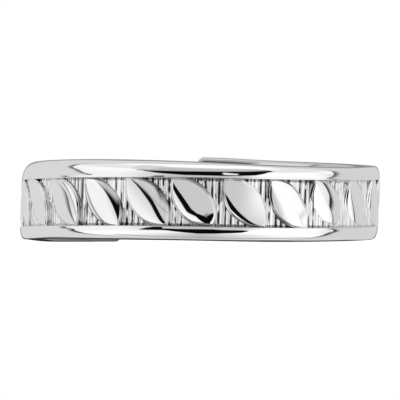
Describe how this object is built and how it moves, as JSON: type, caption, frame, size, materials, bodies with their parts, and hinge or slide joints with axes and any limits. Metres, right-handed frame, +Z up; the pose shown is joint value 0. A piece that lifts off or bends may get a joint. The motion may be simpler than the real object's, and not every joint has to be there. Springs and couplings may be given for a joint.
{
  "type": "toe ring",
  "caption": "Open toe ring lying on its edge: a band with two smooth rounded rails and a channel of slanting domed leaves between them.",
  "frame": {"origin": "middle of the ring's outline on the surface that it lies on", "axes": "+Z up, through the hole for the toe; -Y towards the front of the band; +X to the right as the front is looked at"},
  "size_m": [0.0166, 0.0167, 0.0041],
  "materials": {
    "polished_silver": "mirror-polished white silver, with a finely scored ground between the leaves"
  },
  "bodies": {
    "root": {"ring_band": "polished_silver"}
  },
  "joints": []
}
